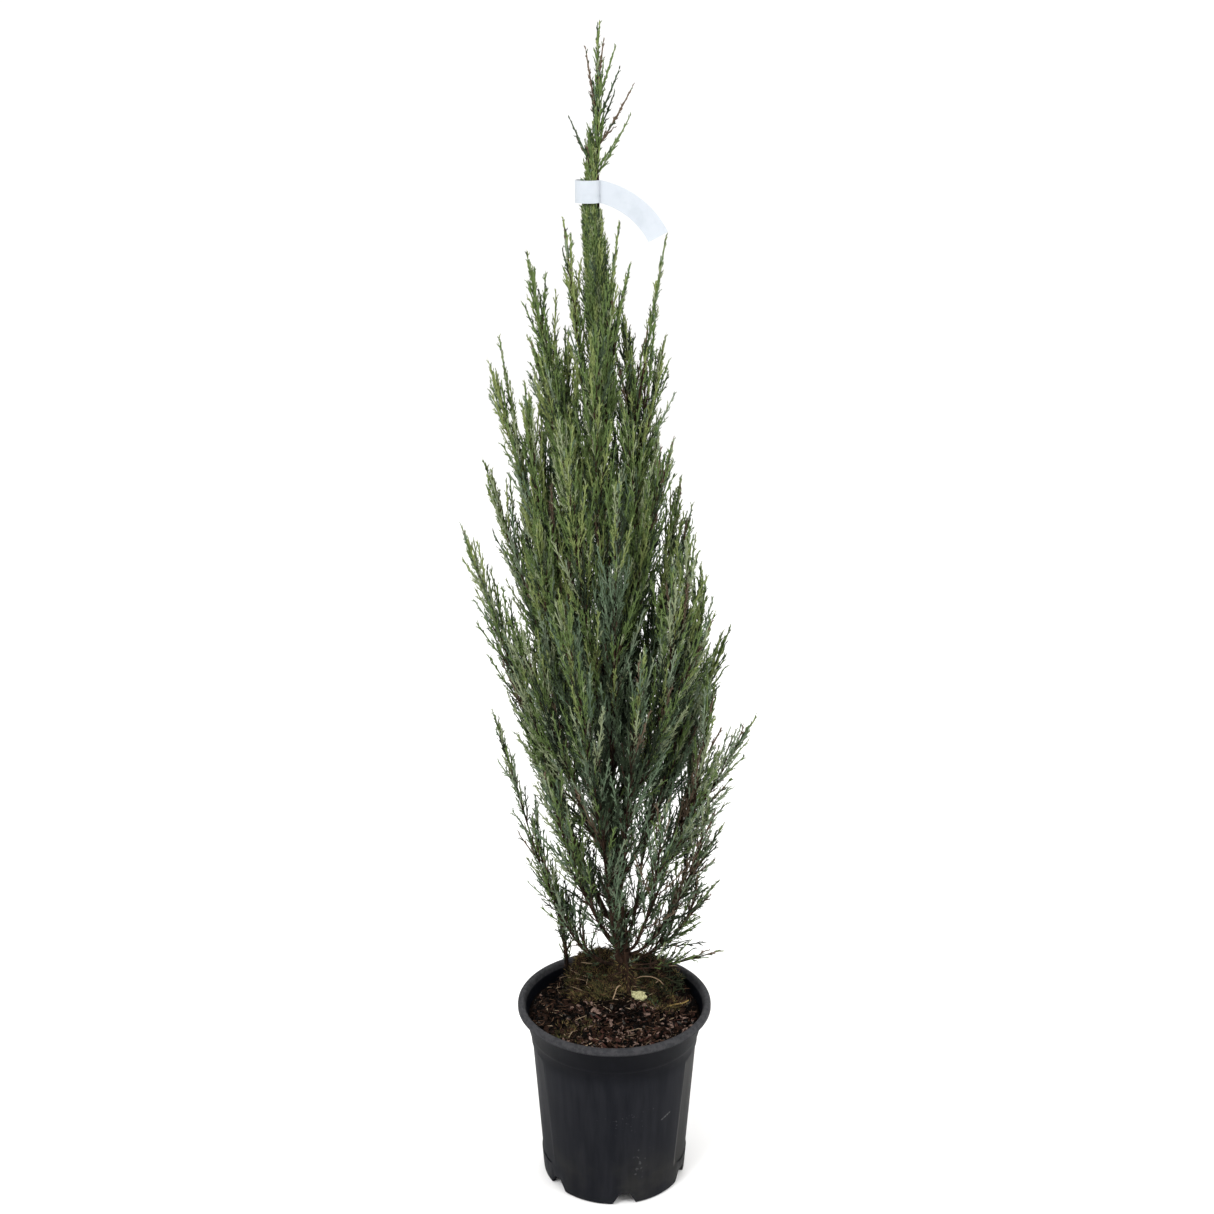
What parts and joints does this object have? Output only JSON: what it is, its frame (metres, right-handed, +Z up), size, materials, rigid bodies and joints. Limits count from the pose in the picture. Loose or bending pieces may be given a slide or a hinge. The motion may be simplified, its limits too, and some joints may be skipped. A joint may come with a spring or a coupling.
{
  "type": "rocky mountain juniper in a nursery pot",
  "caption": "Narrow upright young juniper of feathery blue-green plumes on a slender leaning trunk, in a round black plastic nursery pot filled with bark compost, with a blank white loop tag.",
  "frame": {"origin": "the middle of the pot's flat underside, on the surface it stands on", "axes": "+Z up along the pot's axis and the plant's height, -Y towards the viewer of the picture, +X to their right"},
  "size_m": [0.3639, 0.2679, 1.4627],
  "materials": {
    "plastic": "black nursery-pot plastic, dull, lightly scuffed",
    "compost": "dark bark compost with chips and a mossy top",
    "bark": "thin reddish-brown bark, dull",
    "leaves": "blue-green scale leaves, soft sheen",
    "label": "blank white plastic film"
  },
  "bodies": {
    "root": {"pot": "plastic", "compost": "compost", "trunk": "bark", "plant_tag": "label", "bough_left_basal": "bark", "bough_right_sprig": "bark", "bough_right_fan": "bark", "bough_right_low": "bark", "bough_front_low": "bark", "bough_front_right_low": "bark", "bough_front_left_low": "bark", "bough_back_low": "bark", "bough_back_left_low": "bark", "bough_back_right_low": "bark", "bough_left_far": "bark", "bough_right_far": "bark", "bough_right_second": "bark", "bough_front_right": "bark", "bough_front_left": "bark", "bough_back_right": "bark", "bough_back_left": "bark", "mass_left_basal": "leaves", "mass_right_sprig": "leaves", "mass_right_fan": "leaves", "mass_right_low": "leaves", "mass_front_low": "leaves", "mass_front_right_low": "leaves", "mass_front_left_low": "leaves", "mass_back_low": "leaves", "mass_back_left_low": "leaves", "mass_back_right_low": "leaves", "mass_left_far": "leaves", "mass_right_far": "leaves", "mass_right_second": "leaves", "mass_front_right": "leaves", "mass_front_left": "leaves", "mass_back_right": "leaves", "mass_back_left": "leaves", "mass_left_inner": "leaves", "mass_right_third": "leaves", "mass_right_fourth": "leaves", "mass_left_second": "leaves", "mass_left_third": "leaves", "mass_front_high_right": "leaves", "mass_front_high_left": "leaves", "mass_back_high_right": "leaves", "mass_back_high_left": "leaves", "mass_right_fifth": "leaves", "mass_right_sixth": "leaves", "mass_left_fourth": "leaves", "mass_front_upper": "leaves", "mass_back_upper": "leaves", "mass_right_seventh": "leaves", "mass_left_fifth": "leaves", "mass_front_top": "leaves", "mass_back_top": "leaves", "mass_leader": "leaves"}
  },
  "joints": []
}
